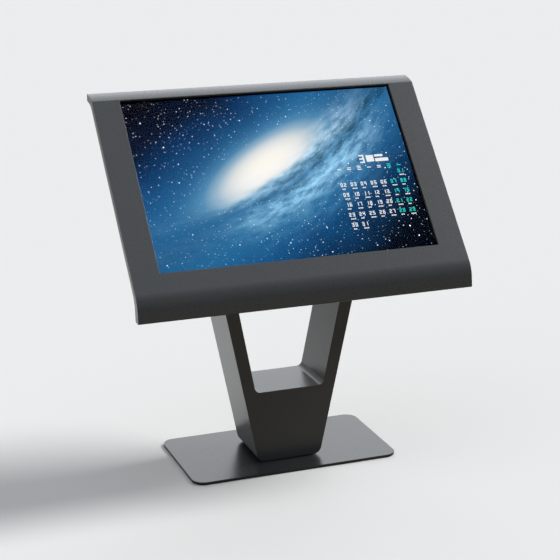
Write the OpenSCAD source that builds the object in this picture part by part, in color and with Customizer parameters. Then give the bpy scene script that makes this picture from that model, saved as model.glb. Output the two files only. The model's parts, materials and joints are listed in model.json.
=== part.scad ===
// Free-standing touchscreen kiosk: a sloping screen head on a V-shaped box stand.
// X runs across the screen, Y from front to back, Z up. The origin is on the floor,
// under the middle of the base plate. All sizes are in millimetres.

/* [Screen head] */
// Width of the formed front cover
head_w = 1096; // [1080:2:1120]
// Width of the opening in the front cover
opening_w = 920; // [880:2:920]
// Height of the opening, measured along the slope
opening_h = 606; // [590:2:606]
// Slope of the screen from horizontal, in degrees
screen_tilt = 48; // [47:0.5:49]
// Height of the middle of the screen above the floor
screen_z = 945; // [940:1:955]
// Sheet thickness of the front cover
cover_t = 3; // [2.5:0.5:3]
// Depth of the turned-in sides of the front cover
side_depth = 23; // [18:1:26]
// Depth of the glass behind the front of the cover
glass_recess = 10; // [9:0.5:11]

/* [Stand] */
// Depth of the stand, front to back
stand_d = 198; // [190:2:206]
// Half width of the stand where it would meet the floor
foot_half = 104.5; // [102:0.5:110]
// How far each outer side leans out per unit of height
outer_flare = 0.2095; // [0.2:0.0005:0.215]
// Height of the floor of the gap between the arms
gap_floor = 252; // [250:1:260]
// Sheet thickness of the stand
skin_t = 2; // [1.5:0.5:2]

/* [Base] */
// Width of the base plate
base_w = 700; // [640:10:800]
// Depth of the base plate
base_d = 382; // [360:2:440]
// Thickness of the base plate
base_t = 8; // [8:1:10]
// Corner radius of the base plate
base_r = 40; // [20:5:60]

/* [Doors] */
// Width of the service door behind the screen
door_w = 322; // [300:2:324]
// Height of the service door, along the slope
door_h = 446; // [420:2:446]
// Gap around each door
door_gap = 2; // [2:0.5:3]

/* [Hidden] */

$fn = 48;
eps = 0.1;
far = 2000;
fit_gap = 0.05;

// Screen head: (u, n) are the directions up the slope and out of the screen.
screen_y = -20;
screen_u = [cos(screen_tilt), sin(screen_tilt)];
screen_n = [-sin(screen_tilt), cos(screen_tilt)];
bend_above_opening = 2;
apron_u = -395;
apron_lean = 7;
apron_len = 63;
apron_r = 100;
apron_depth = 30;
flange_rise = [22, 6];
flange_half = 32.3;
flange_r = 190;
lip_h = 23;
bend_r = 8;
edge_r = 4;

glass_w = 940;
glass_h = 628;
glass_t = 4;
panel_w = 928;
panel_h = 618;
panel_t = 2.5;
tray_grow = 2;
tray_wall = 5;
tray_floor = 3;
tray_back = -40;
tray_boss_n = -30;
light_guide_t = 4;
rail_x = 240;
rail_w = 30;
rail_t = 2;
rail_top = 292;
rail_back = -60;
rail_hole_u = [-260, -90, 90, 260];
plate_t = 2;
plate_back = rail_back - plate_t;
panel_back = -glass_recess - glass_t - 1 - panel_t;
tray_size = [panel_w + 2 * tray_grow, panel_h + 2 * tray_grow];

tub_w = 956;
tub_t = 2;
tub_back = -130;
tub_bottom = -335;
tub_rear_y = 238;
rim_w = 20;
rim_hole_r = 1.7;
tub_in = tub_back + tub_t;

door_u = -25;
door_rim = 1.5;
hinge_inset = 5;
hinge_lift = 4.8;
knuckle_r = 4.3;
knuckle_gap = 0.5;
leaf_t = 2.5;
leaf_clear = 0.6;
leaf_foot = 9;
pin_r = 2;
service_hinge_u = door_u + door_h / 2 + door_gap + hinge_inset;
service_hinge_x = 110;
service_knuckle = 20;
lock_r = 9.5;
plug_r = 7;
cam_len = 32;
cam_w = 10;
cam_t = 2;
cam_clear = 2.5;
service_lock_u = -230;

fan_x = 380;
fan_z = 1098;
fan_size = 80;
fan_t = 20;
fan_bore_r = 38;
fan_blade_r = 36.5;
fan_hub_r = 16;
fan_shaft_r = 2;
fan_hole = 35.75;
fan_blades = 7;

speaker_x = 330;
speaker_n = -90;
speaker_size = [110, 56];

button_x = 430;
button_n = -100;
button_r = 6;
button_proud = 2;

mat_t = 2;
foot_pad_t = 3;
floor_z = mat_t + base_t + foot_pad_t;
stand_front = -105;
stand_back = stand_front + stand_d;
stand_top = 890;
foot_r = 27;
gap_r = 20;
inner_half_0 = 65.9;
inner_flare = 0.199;
flange_t = 6;
foot_bolt_r = 5;
foot_bolt_x = 62;
foot_bolt_y = [-76, 60];
foot_bolt_low = 3;
arm_end_n = tub_back - 0.2;
cap_t = 6;
cap_n = tub_back - 1;
head_bolt_r = 4;
head_bolt_u = [-240, -170, -55, 0];
grommet_u = -115;
grommet_r = 12;

pedestal_door_z = 160;
pedestal_door_w = 121;
pedestal_door_h = 127;
pedestal_hinge_x = -pedestal_door_w / 2 - door_gap - hinge_inset;
pedestal_hinge_z = 38;
pedestal_knuckle = 10;
pedestal_lock_x = 42;
inlet_plate_size = [130, 54];
inlet_z = 51;
inlet_x = -34;
switch_x = 5;
network_x = 38;
rocker_tilt = 10;
lead_r = 3.5;
network_r = 3;
lead_slack = 0.3;

// ---------- 2-D helpers ----------

function unit(v) = v / norm(v);
function cross2(a, b) = a.x * b.y - a.y * b.x;
function meet(p, d, q, e) = p + d * cross2(q - p, e) / cross2(d, e);
function right_of(d) = [d.y, -d.x];
function polar(r, a) = [r * cos(a), r * sin(a)];
function reversed(list) = [for (i = [len(list) - 1:-1:0]) list[i]];

// A path moved to its right by one gap for each of its segments
function shifted(path, gaps) =
    let (last = len(path) - 1, d = [for (i = [0:last - 1]) unit(path[i + 1] - path[i])])
    [for (i = [0:last])
        i == 0 ? path[0] + right_of(d[0]) * gaps[0] :
        i == last ? path[last] + right_of(d[last - 1]) * gaps[last - 1] :
        meet(path[i - 1] + right_of(d[i - 1]) * gaps[i - 1], d[i - 1],
             path[i] + right_of(d[i]) * gaps[i], d[i])];

// The arc of radius r that rounds the corner b between a and c
function corner_arc(a, b, c, r, steps) =
    let (p = unit(a - b), q = unit(c - b), half = acos(p * q) / 2,
         centre = b + unit(p + q) * r / sin(half),
         from = b + p * r / tan(half) - centre,
         to = b + q * r / tan(half) - centre,
         turn = (180 - 2 * half) * sign(cross2(from, to)),
         start = atan2(from.y, from.x))
    [for (i = [0:steps]) centre + polar(r, start + turn * i / steps)];

// An open path with its inner corners rounded to the radii given
function rounded(path, radii, steps = 10) =
    [for (i = [0:len(path) - 1])
        each (i == 0 || i == len(path) - 1 || radii[i - 1] <= 0) ? [path[i]] :
            corner_arc(path[i - 1], path[i], path[i + 1], radii[i - 1], steps)];

module round_rect(size, r) {
    union() {
        square([size.x - 2 * r, size.y], center = true);
        square([size.x, size.y - 2 * r], center = true);
        for (x = [-1, 1], y = [-1, 1])
            translate([x * (size.x / 2 - r), y * (size.y / 2 - r)]) circle(r);
    }
}

module ring_2d(r, r_in) {
    difference() {
        circle(r);
        circle(r_in);
    }
}

// ---------- placing helpers ----------

// Into the head: x across, y up the slope, z out of the screen
module in_head(x = 0, u = 0, n = 0) {
    translate([0, screen_y, screen_z]) rotate([screen_tilt, 0, 0]) translate([x, u, n]) children();
}

function head_point(x, u, n) =
    let (q = [screen_y, screen_z] + u * screen_u + n * screen_n) [x, q.x, q.y];

// A flat shape drawn in (y, z) and given the width w along X
module along_x(w) {
    rotate([90, 0, 90]) translate([0, 0, -w / 2]) linear_extrude(w) children();
}

// A flat shape drawn in (x, z) that fills y0 to y1
module along_y(y0, y1) {
    translate([0, y1, 0]) rotate([90, 0, 0]) linear_extrude(y1 - y0) children();
}

// A block given by its two corners
module block(low, high) {
    translate(low) cube(high - low);
}

module head_block(low, high) {
    in_head() block(low, high);
}

// A tube or rod along Y from y0 to y1, at (x, z)
module rod_y(x, z, y0, y1, r) {
    translate([x, y1, z]) rotate([90, 0, 0]) cylinder(h = y1 - y0, r = r);
}

// A rod along X from x0 to x1, at the origin of the frame it is in
module rod_x(x0, x1, r) {
    translate([x0, 0, 0]) rotate([0, 90, 0]) cylinder(h = x1 - x0, r = r);
}

// A pan-head screw: head above z = 0, shank below
module screw(r, length) {
    union() {
        translate([0, 0, -length]) cylinder(h = length + eps, r = r);
        difference() {
            cylinder(h = 1.3 * r, r1 = 1.95 * r, r2 = 1.5 * r);
            translate([0, 0, 0.6 * r]) cylinder(h = 2 * r, r = 0.75 * r, $fn = 6);
        }
    }
}

// A hexagon-head bolt: head above z = 0, shank below
module hex_bolt(r, length) {
    union() {
        translate([0, 0, -length]) cylinder(h = length + eps, r = r);
        cylinder(h = 1.3 * r, r = 1.85 * r, $fn = 6);
    }
}

// ---------- head outline ----------

bend_u = opening_h / 2 + bend_above_opening;
apron_corner = [screen_y, screen_z] + apron_u * screen_u;
cover_bottom = apron_corner + apron_len * [-sin(apron_lean), -cos(apron_lean)];
top_bend = [screen_y, screen_z] + bend_u * screen_u;
flange_mid = top_bend + polar(flange_half, flange_rise[0]);
flange_rear = flange_mid + polar(flange_half, flange_rise[1]);
cover_path = [cover_bottom + [apron_depth, 0], cover_bottom, apron_corner, top_bend,
              flange_mid, flange_rear, flange_rear - [0, lip_h]];
cover_radii = [edge_r, apron_r, bend_r, flange_r, edge_r];

function cover_line(gap) =
    rounded(shifted(cover_path, [for (i = [0:5]) gap]),
            [for (r = cover_radii) max(r - gap, 0.5)]);

// Everything under the cover's outer surface, less a margin
module under_cover_2d(gap) {
    line = cover_line(gap);
    polygon(concat(line, [[line[len(line) - 1].x, 0], [line[0].x, 0]]));
}

module front_cover() {
    side_line = rounded(shifted(cover_path,
        [cover_t, apron_depth, side_depth, side_depth, side_depth, cover_t]),
        [0, apron_r - apron_depth, 30, 100, 0]);
    color("dimgray") difference() {
        along_x(head_w) polygon(concat(cover_line(0), reversed(side_line)));
        along_x(head_w - 2 * cover_t) under_cover_2d(cover_t);
        in_head(0, 0, -5) linear_extrude(20) round_rect([opening_w, opening_h], 2);
        for (p = rim_points()) in_head(p.x, p.y, -cover_t - eps) cylinder(h = 1.6, r = rim_hole_r);
    }
}

// ---------- glass and display ----------

module glass_gasket() {
    color("black") intersection() {
        in_head(0, 0, -glass_recess) linear_extrude(glass_recess - cover_t) difference() {
            square([glass_w, glass_h], center = true);
            square([opening_w + 2, opening_h + 2], center = true);
        }
        along_x(head_w) under_cover_2d(cover_t);
    }
}

module touch_glass() {
    color("#10202c") in_head(0, 0, -glass_recess - glass_t)
        linear_extrude(glass_t) round_rect([glass_w, glass_h], 3);
}

module touch_flex() {
    edge_u = -glass_h / 2 - 3;
    line = [[-glass_h / 2 + 4, -glass_recess - glass_t], [edge_u, -glass_recess - glass_t],
            [edge_u, plate_back - 4], [-232, plate_back - 4]];
    color("darkorange") in_head() translate([90, 0, 0]) rotate([90, 0, 90])
        linear_extrude(30) polygon(concat(line, reversed(shifted(line, [-0.4, -0.4, -0.4]))));
}

// A circuit board on four pillars below the equipment plate. Each chip is
// [x, u, width, height, depth], from the board's low corner.
module board(low, high, n, chips) {
    board_t = 1.6;
    union() {
        head_block([low.x, low.y, n - board_t], [high.x, high.y, n]);
        for (c = chips) head_block([low.x + c[0], low.y + c[1], n - board_t - c[4]],
                                   [low.x + c[0] + c[2], low.y + c[1] + c[3], n - board_t + eps]);
        for (x = [low.x + 5, high.x - 5], u = [low.y + 5, high.y - 5])
            in_head(x, u, n - eps) cylinder(h = plate_back - n + eps, r = 3);
    }
}

module touch_controller() {
    color("darkgreen") board([60, -232], [150, -190], plate_back - 5,
        [[10, 14, 14, 14, 2], [40, 10, 20, 16, 3], [68, 8, 14, 26, 6]]);
}

module display_panel() {
    color("midnightblue") in_head(0, 0, panel_back)
        linear_extrude(panel_t) round_rect([panel_w, panel_h], 2);
}

module light_guide() {
    size = tray_size - 2 * [tray_wall + 1, tray_wall + 1];
    color("white") in_head(0, 0, tray_boss_n) linear_extrude(light_guide_t) round_rect(size, 2);
}

// An open tray with a ribbed floor and a boss for each rail screw
module backlight_tray() {
    inside = tray_size - 2 * [tray_wall, tray_wall];
    color("silver") difference() {
        union() {
            difference() {
                in_head(0, 0, tray_back) linear_extrude(panel_back - tray_back) round_rect(tray_size, 3);
                in_head(0, 0, tray_back + tray_floor) linear_extrude(50) square(inside, center = true);
                for (x = [-200:70:220])
                    head_block([x, -250, tray_back - eps], [x + 50, 250, tray_back + tray_floor / 2]);
            }
            rail_hole_set(tray_back + eps, tray_boss_n - tray_back - eps, 6);
        }
        rail_hole_set(tray_back - eps, 8.5, 2.05);
    }
}

module rail_hole_set(n, depth, r) {
    for (s = [-1, 1], u = rail_hole_u) in_head(s * rail_x, u, n) cylinder(h = depth, r = r);
}

module panel_rail(s) {
    low_u = tub_bottom + tub_t;
    half = rail_w / 2;
    difference() {
        head_block([s * rail_x - half, low_u, rail_back], [s * rail_x + half, rail_top, tray_back]);
        head_block([s * rail_x - half + rail_t, low_u - eps, rail_back - eps],
                   [s * rail_x + half - rail_t, rail_top - 12, tray_back - rail_t]);
        rail_hole_set(tray_back - 3, 4, 2.2);
    }
}

module panel_rail_left() { color("gray") panel_rail(-1); }
module panel_rail_right() { color("gray") panel_rail(1); }

module rail_screws() {
    color("lightgray") for (s = [-1, 1], u = rail_hole_u)
        in_head(s * rail_x, u, tray_back - rail_t) rotate([180, 0, 0]) screw(2, 9);
}

module equipment_plate() {
    tab = rail_x + rail_w / 2;
    color("darkgray") difference() {
        head_block([-tab, -246, plate_back], [tab, 200, rail_back]);
        for (s = [-1, 1], u = rail_hole_u) in_head(s * rail_x, u, plate_back - eps) cylinder(h = 5, r = 8);
        for (x = [-150, 0, 150]) head_block([x - 30, 178, plate_back - eps], [x + 30, 188, rail_back + eps]);
    }
}

module media_player() {
    low = [20, -180, plate_back - 40];
    high = [188, 0, plate_back];
    color("#202224") union() {
        difference() {
            head_block(low, high);
            for (x = [34:10:174]) head_block([x, -165, low.z - eps], [x + 5, -15, low.z + 6]);
            head_block([high.x - 8, -120, low.z + 12], [high.x + eps, -104, low.z + 26]);
        }
        for (u = [-80, -60]) head_block([high.x - eps, u, low.z + 10], [high.x + 1.5, u + 14, low.z + 17]);
    }
}

module power_supply() {
    low = [-188, -180, plate_back - 35];
    high = [-60, 40, plate_back];
    color("silver") difference() {
        head_block(low, high);
        for (x = [-170:12:-80], u = [-160, -60]) head_block([x, u, low.z - eps], [x + 6, u + 70, low.z + 2]);
        head_block([low.x - eps, -106, low.z + 6], [low.x + 14, -74, high.z - 6]);
    }
}

module display_board() {
    color("darkgreen") board([-190, 66], [-30, 166], plate_back - 6,
        [[10, 10, 30, 30, 3], [60, 16, 24, 24, 8], [96, 50, 40, 22, 5], [20, 60, 26, 14, 10],
         [104, 8, 44, 12, 12]]);
}

module display_ribbon() {
    low_n = plate_back - 6;
    line = [[160, low_n], [206, low_n], [206, tray_back - 0.4], [232, tray_back - 0.4]];
    color("whitesmoke") in_head() translate([-140, 0, 0]) rotate([90, 0, 90])
        linear_extrude(44) polygon(concat(line, reversed(shifted(line, [-0.4, -0.4, -0.4]))));
}

// ---------- tub behind the screen ----------

// The region that the tub fills in (y, z), less an inset
module tub_2d(inset, front_n) {
    intersection() {
        translate([screen_y, screen_z]) rotate(screen_tilt)
            translate([tub_bottom + inset, tub_back + inset])
                square([far, front_n - tub_back - inset]);
        translate([tub_rear_y - inset - far, 0]) square([far, far]);
        under_cover_2d(cover_t + 0.5 + inset);
    }
}

function rim_points() = concat(
    [for (s = [-1, 1], u = [-300:120:180]) [s * (tub_w / 2 + 11), u]],
    [for (x = [-420:140:420]) [x, tub_bottom - 11]]);

module tub_door_opening(grow) {
    size = [door_w + 2 * grow, door_h + 2 * grow];
    in_head(0, door_u, tub_back - 10) linear_extrude(20) square(size, center = true);
}

module rear_tub() {
    color("#3a3c3e") union() {
        difference() {
            union() {
                along_x(tub_w) tub_2d(0, -cover_t);
                head_block([-tub_w / 2 - rim_w, tub_bottom - rim_w, -cover_t - tub_t],
                           [tub_w / 2 + rim_w, 250, -cover_t]);
            }
            along_x(tub_w - 2 * tub_t) tub_2d(tub_t, -cover_t - tub_t);
            in_head(0, 0, -30) linear_extrude(60)
                translate([-tub_w / 2 + tub_t, tub_bottom + tub_t]) square([tub_w - 2 * tub_t, far]);
            tub_door_opening(door_gap);
            tub_vents();
            for (p = rim_points()) in_head(p.x, p.y, -10) cylinder(h = 10, r = rim_hole_r);
            for (s = [-1, 1]) arm_holes(s, tub_back - 1, tub_t + 2);
            for (s = [-1, 1], c = fan_screw_points(s)) rod_y(c.x, c.y, tub_rear_y - 5, tub_rear_y + 5, 1.6);
            in_head(button_x, tub_bottom - 1, button_n) rotate([-90, 0, 0]) cylinder(h = 5, r = 8.1);
        }
        for (x = knuckle_places(service_hinge_x, service_knuckle, [-1, 1]))
            at_service_hinge(x) knuckle(service_knuckle, pin_r);
    }
}

// Slots for the fans, the speakers and the air inlet
module tub_vents() {
    for (s = [-1, 1], i = [-4:4])
        block([s * fan_x - 33, tub_rear_y - 5, fan_z + i * 8 - 2],
              [s * fan_x + 33, tub_rear_y + 5, fan_z + i * 8 + 2]);
    for (s = [-1, 1], i = [-4:4])
        head_block([s * speaker_x + i * 10 - 2, tub_bottom - 5, speaker_n - 20],
                   [s * speaker_x + i * 10 + 2, tub_bottom + 5, speaker_n + 20]);
    for (i = [-12:12])
        head_block([i * 16 - 3, tub_bottom - 5, -110], [i * 16 + 3, tub_bottom + 5, -60]);
}

module tub_screws() {
    color("gray") for (p = rim_points())
        in_head(p.x, p.y, -cover_t - tub_t) rotate([180, 0, 0]) screw(1.5, 3.3);
}

// ---------- hinges, doors and locks ----------

// Middles of the knuckles of two hinges; k is 0 on the door, -1 and 1 beside it
function knuckle_places(spacing, length, places) =
    [for (s = [-1, 1], k = places) s * spacing + k * (length + knuckle_gap)];

// A hinge knuckle about Z with its leaf along +X, on a face at y = -hinge_lift
module knuckle(length, bore_r) {
    leaf = 22;
    difference() {
        union() {
            cylinder(h = length, r = knuckle_r, center = true);
            block([0, leaf_clear - hinge_lift, -length / 2], [leaf, leaf_t - hinge_lift, length / 2]);
            block([leaf_foot, -hinge_lift, -length / 2], [leaf, leaf_t - hinge_lift, length / 2]);
        }
        cylinder(h = length + 2, r = bore_r, center = true);
    }
}

// Puts a knuckle on the service door's hinge line, its leaf up the slope
module at_service_hinge(x) {
    in_head(x, service_hinge_u, tub_back - hinge_lift) rotate([-90, 0, 90]) children();
}

module service_hinge_pins() {
    half = 1.5 * service_knuckle + knuckle_gap + 1;
    color("silver") for (s = [-1, 1])
        in_head(s * service_hinge_x, service_hinge_u, tub_back - hinge_lift) rod_x(-half, half, pin_r);
}

module service_door() {
    half = [door_w / 2, door_h / 2];
    low_u = door_u - half.y;
    color("#46484a") union() {
        difference() {
            in_head(0, door_u, tub_back) linear_extrude(12) square(2 * half, center = true);
            in_head(0, door_u, tub_in) linear_extrude(20)
                square(2 * half - 2 * [door_rim, door_rim], center = true);
            head_block([-cam_len - 4, low_u - 1, tub_in], [cam_len + 4, low_u + 4, tub_in + 20]);
            in_head(0, service_lock_u, tub_back - 1) cylinder(h = 5, r = lock_r);
            for (u = [32:12:128]) head_block([-60, u - 2, tub_back - 1], [60, u + 2, tub_in + 1]);
        }
        for (x = knuckle_places(service_hinge_x, service_knuckle, [0]))
            at_service_hinge(x) mirror([1, 0, 0]) knuckle(service_knuckle, pin_r + fit_gap);
    }
}

// A cam lock's fixed body, along +Z from its outer face at z = 0
module lock_body(depth, sheet) {
    difference() {
        union() {
            cylinder(h = depth, r = lock_r);
            translate([0, 0, -2]) cylinder(h = 2, r1 = 11, r2 = 12);
            translate([0, 0, sheet]) cylinder(h = 1.5, r = 12.5, $fn = 6);
        }
        translate([0, 0, -3]) cylinder(h = depth + 4, r = plug_r + fit_gap);
    }
}

// A cam lock's plug with its keyway and cam; the cam points along +X
module lock_plug(sheet) {
    cam_z = sheet + cam_clear;
    union() {
        difference() {
            translate([0, 0, -2]) cylinder(h = cam_z + 2, r = plug_r);
            block([-0.8, -4, -3], [0.8, 4, 2]);
        }
        translate([0, 0, cam_z]) cylinder(h = cam_t, r = cam_w / 2 + 2);
        block([0, -cam_w / 2, cam_z], [cam_len, cam_w / 2, cam_z + cam_t]);
        translate([0, 0, cam_z + cam_t - eps]) cylinder(h = 3, r = 4, $fn = 6);
    }
}

module service_lock_body() {
    color("silver") in_head(0, service_lock_u, tub_back) lock_body(4, tub_t);
}

module service_lock_plug() {
    color("lightgray") in_head(0, service_lock_u, tub_back) lock_plug(tub_t);
}

// ---------- fans, speakers and power button ----------

function fan_screw_points(s) =
    [for (x = [-fan_hole, fan_hole], z = [-fan_hole, fan_hole]) [s * fan_x + x, fan_z + z]];

// Puts a fan's own frame (air along +Z, rear face at z = 0) behind the tub's rear wall
module at_fan(s) {
    translate([s * fan_x, tub_rear_y - tub_t, fan_z]) rotate([-90, 0, 0]) children();
}

module fan_frame(s) {
    at_fan(s) difference() {
        translate([0, 0, -fan_t]) linear_extrude(fan_t) round_rect([fan_size, fan_size], 5);
        translate([0, 0, -fan_t - 1]) difference() {
            cylinder(h = fan_t + 2, r = fan_bore_r);
            translate([0, 0, fan_t - 3]) cylinder(h = 4, r = fan_hub_r - 2);
            for (a = [0:120:240]) rotate(a + 30) translate([8, -1.5, fan_t - 3]) cube([40, 3, 4]);
        }
        translate([0, 0, -5]) cylinder(h = 6, r = fan_shaft_r + fit_gap);
        for (x = [-fan_hole, fan_hole], y = [-fan_hole, fan_hole])
            translate([x, y, -fan_t - 1]) cylinder(h = fan_t + 2, r = 1.6);
    }
}

module fan_rotor(s) {
    at_fan(s) union() {
        translate([0, 0, -18]) cylinder(h = 14, r = fan_hub_r);
        translate([0, 0, -5]) cylinder(h = 4, r = fan_shaft_r);
        intersection() {
            translate([0, 0, -17.5]) linear_extrude(13) ring_2d(fan_blade_r, fan_hub_r - 1);
            for (i = [1:fan_blades]) rotate(i * 360 / fan_blades)
                translate([fan_hub_r - 2, 0, -11]) rotate([38, 0, 0]) block([0, -11, -0.8], [26, 11, 0.8]);
        }
    }
}

module fan_frame_left() { color("#202020") fan_frame(-1); }
module fan_frame_right() { color("#202020") fan_frame(1); }
module fan_rotor_left() { color("#303030") fan_rotor(-1); }
module fan_rotor_right() { color("#303030") fan_rotor(1); }

module fan_screws() {
    color("gray") for (s = [-1, 1], c = fan_screw_points(s))
        translate([c.x, tub_rear_y, c.y]) rotate([-90, 0, 0]) screw(1.5, 12);
}

// Puts a speaker's own frame (front face at z = 0, facing -Z) on the tub's lower wall
module at_speaker(s) {
    in_head(s * speaker_x, tub_bottom + tub_t, speaker_n) rotate([-90, 0, 0]) children();
}

module speaker(s) {
    at_speaker(s) difference() {
        union() {
            linear_extrude(3) round_rect(speaker_size, 6);
            translate([0, 0, 2]) cylinder(h = 22, r1 = 26, r2 = 15);
            translate([0, 0, 23]) cylinder(h = 11, r = 18);
        }
        translate([0, 0, -1]) cylinder(h = 4.2, r = 24);
        translate([0, 0, 3]) cylinder(h = 17, r1 = 24, r2 = 12);
    }
}

module speaker_left() { color("#202020") speaker(-1); }
module speaker_right() { color("#202020") speaker(1); }

module speaker_cones() {
    color("#303030") for (s = [-1, 1]) at_speaker(s) union() {
        translate([0, 0, 1]) linear_extrude(1.5) ring_2d(23.7, 19);
        translate([0, 0, 1]) difference() {
            cylinder(h = 12, r1 = 20, r2 = 9);
            translate([0, 0, -0.1]) cylinder(h = 11, r1 = 18.5, r2 = 8);
        }
    }
}

// Puts the power button's own frame (z = 0 on the tub's outer face, +Z inwards)
module at_button() {
    in_head(button_x, tub_bottom, button_n) rotate([-90, 0, 0]) children();
}

module power_button_bezel() {
    color("silver") at_button() difference() {
        union() {
            translate([0, 0, -1.5]) cylinder(h = 1.5, r1 = 10, r2 = 11);
            cylinder(h = 18, r = 8);
            translate([0, 0, tub_t]) cylinder(h = 2.5, r = 11, $fn = 6);
        }
        translate([0, 0, -2]) cylinder(h = 16, r = button_r + fit_gap);
    }
}

module power_button() {
    color("dimgray") at_button() union() {
        translate([0, 0, -button_proud]) cylinder(h = 12.5, r = button_r);
        translate([0, 0, -button_proud - 0.6]) cylinder(h = 0.7, r1 = 4.6, r2 = button_r);
    }
}

// ---------- stand ----------

function outer_half(z) = foot_half + outer_flare * z;
function inner_half(z) = inner_half_0 + inner_flare * z;
function arm_mid(z) = (outer_half(z) + inner_half(z)) / 2;

// The stand's outline from the front; the inset moves it into the sheet
module outer_outline(inset, top = stand_top) {
    side = inset * norm([1, outer_flare]);
    low = floor_z + inset;
    path = [[-outer_half(top) + side, top], [-outer_half(low) + side, low],
            [outer_half(low) - side, low], [outer_half(top) - side, top]];
    polygon(rounded(path, [foot_r - inset, foot_r - inset]));
}

module gap_outline(grow, top = stand_top + 1) {
    side = grow * norm([1, inner_flare]);
    low = gap_floor - grow;
    path = [[-inner_half(top) - side, top], [-inner_half(low) - side, low],
            [inner_half(low) + side, low], [inner_half(top) + side, top]];
    polygon(rounded(path, [gap_r + grow, gap_r + grow]));
}

module stand_outline(inset) {
    difference() {
        outer_outline(inset);
        gap_outline(inset);
    }
}

// Cuts the arms to the slope of the tub
module cut_to_head() {
    difference() {
        children();
        in_head() block([-far, -far, arm_end_n], [far, far, far]);
    }
}

module stand_front_plate() {
    color("#2f3031") cut_to_head()
        along_y(stand_front, stand_front + skin_t) stand_outline(0);
}

module stand_rear_plate() {
    rear = stand_back;
    door = [pedestal_door_w / 2 + door_gap, pedestal_door_h / 2 + door_gap];
    color("#3a3b3c") union() {
        difference() {
            cut_to_head() along_y(rear - skin_t, rear) stand_outline(0);
            block([-door.x, rear - 5, pedestal_door_z - door.y],
                  [door.x, rear + 5, pedestal_door_z + door.y]);
            block([-56, rear - 5, inlet_z - 20], [56, rear + 5, inlet_z + 20]);
            for (c = inlet_screw_points()) rod_y(c.x, c.y, rear - 5, rear + 5, 1.55);
        }
        for (z = knuckle_places(pedestal_hinge_z, pedestal_knuckle, [-1, 1]))
            at_pedestal_hinge(z) mirror([1, 0, 0]) knuckle(pedestal_knuckle, pin_r);
    }
}

module stand_outer_skin() {
    color("#88877f") cut_to_head() difference() {
        along_y(stand_front + skin_t, stand_back - skin_t) difference() {
            outer_outline(0);
            outer_outline(skin_t, stand_top + 1);
        }
        foot_holes(foot_bolt_r + 0.5);
    }
}

module stand_inner_skin() {
    color("#57584f") cut_to_head()
        along_y(stand_front + skin_t, stand_back - skin_t) difference() {
            gap_outline(skin_t, stand_top);
            gap_outline(0);
        }
}

module foot_holes(r) {
    for (x = [-1, 1], y = foot_bolt_y)
        translate([x * foot_bolt_x, y, foot_bolt_low]) cylinder(h = 40, r = r);
}

module foot_flange() {
    low = floor_z + skin_t;
    color("gray") difference() {
        block([-84, stand_front + skin_t, low], [84, stand_back - skin_t, low + flange_t]);
        foot_holes(foot_bolt_r + 0.5);
        block([-30, -40, low - eps], [30, 30, low + flange_t + eps]);
    }
}

module foot_bolts() {
    top = floor_z + skin_t + flange_t + 2;
    color("silver") for (x = [-1, 1], y = foot_bolt_y)
        translate([x * foot_bolt_x, y, top]) hex_bolt(foot_bolt_r, top - foot_bolt_low - 0.5);
}

module foot_washers() {
    low = floor_z + skin_t + flange_t;
    color("silver") for (x = [-1, 1], y = foot_bolt_y)
        translate([x * foot_bolt_x, y, low]) linear_extrude(2) ring_2d(2.1 * foot_bolt_r, foot_bolt_r + 0.4);
}

module base_plate() {
    color("#7f8285") difference() {
        translate([0, 0, mat_t]) linear_extrude(base_t) round_rect([base_w, base_d], base_r);
        foot_holes(foot_bolt_r + 0.1);
    }
}

// Lifts the stand clear of the base, so that its foot is a thin dark line
module foot_pad() {
    half = outer_half(floor_z) - foot_r;
    color("#181818") difference() {
        block([-half, stand_front + 5, floor_z - foot_pad_t], [half, stand_back - 5, floor_z]);
        foot_holes(foot_bolt_r + 0.5);
    }
}

module base_mat() {
    color("#202020") linear_extrude(mat_t) round_rect([base_w - 6, base_d - 6], base_r - 3);
}

// Everything inside the arm on side s, between the skins
module arm_inside(s, gap) {
    intersection() {
        along_y(stand_front + skin_t + gap, stand_back - skin_t - gap) stand_outline(skin_t + gap);
        block([s > 0 ? 0 : -far, -far, 400], [s > 0 ? far : 0, far, far]);
    }
}

function cap_z(u) = head_point(0, u, tub_back).z;

// Bolt holes and the cable hole between an arm and the tub
module arm_holes(s, n, depth) {
    for (u = head_bolt_u) in_head(s * arm_mid(cap_z(u)), u, n) cylinder(h = depth, r = head_bolt_r + 0.2);
    in_head(s * arm_mid(cap_z(grommet_u)), grommet_u, n) cylinder(h = depth, r = grommet_r);
}

module arm_cap(s) {
    difference() {
        intersection() {
            arm_inside(s, 0.1);
            in_head() block([-far, -far, cap_n - cap_t], [far, far, cap_n + 0.9]);
        }
        arm_holes(s, cap_n - cap_t - 1, cap_t + 3);
    }
}

module arm_cap_left() { color("gray") arm_cap(-1); }
module arm_cap_right() { color("gray") arm_cap(1); }

module head_bolts() {
    color("silver") for (s = [-1, 1], u = head_bolt_u)
        in_head(s * arm_mid(cap_z(u)), u, tub_in) union() {
            hex_bolt(head_bolt_r, 16);
            translate([0, 0, cap_n - cap_t - tub_in - 6]) cylinder(h = 6, r = 7, $fn = 6);
        }
}

module cable_grommets() {
    color("black") for (s = [-1, 1])
        in_head(s * arm_mid(cap_z(grommet_u)), grommet_u, cap_n - cap_t - 2) difference() {
            union() {
                cylinder(h = 12, r = grommet_r - 0.1);
                cylinder(h = 1.9, r = grommet_r + 3);
                translate([0, 0, 11.1]) cylinder(h = 2, r = grommet_r + 3);
            }
            translate([0, 0, -1]) cylinder(h = 16, r = 5.5);
        }
}

// ---------- pedestal door and connections ----------

// Puts a knuckle on the pedestal door's hinge line, its leaf to +X
module at_pedestal_hinge(z) {
    translate([pedestal_hinge_x, stand_back + hinge_lift, pedestal_door_z + z]) children();
}

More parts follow.
